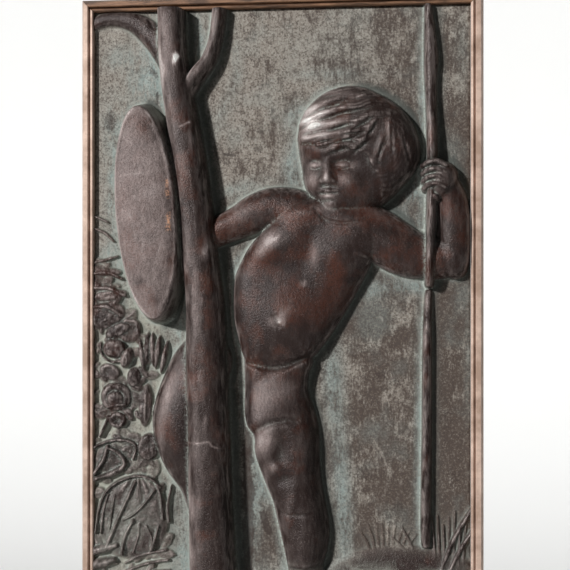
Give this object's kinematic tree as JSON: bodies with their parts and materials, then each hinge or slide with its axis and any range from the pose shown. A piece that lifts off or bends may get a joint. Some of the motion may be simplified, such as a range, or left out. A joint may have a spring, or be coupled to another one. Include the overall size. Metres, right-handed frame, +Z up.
{
  "type": "relief plaque",
  "caption": "Upright rectangular cast bronze relief plaque of a standing child with a spear, a tree and a shield, in a narrow moulded frame.",
  "frame": {"origin": "middle of the casting's flat back, in the plane that lies against the wall", "axes": "+Y into the wall, the relief faces -Y; +Z up; +X to the viewer's right"},
  "size_m": [0.48, 0.0585, 0.78],
  "materials": {
    "bronze": "dark plum-brown bronze with grey-green verdigris in the hollows and worn highlights",
    "frame_copper": "tan copper-coloured moulding, dull and slightly stained"
  },
  "bodies": {
    "root": {"relief_casting": "bronze", "frame_top": "frame_copper", "frame_bottom": "frame_copper", "frame_left": "frame_copper", "frame_right": "frame_copper"}
  },
  "joints": []
}
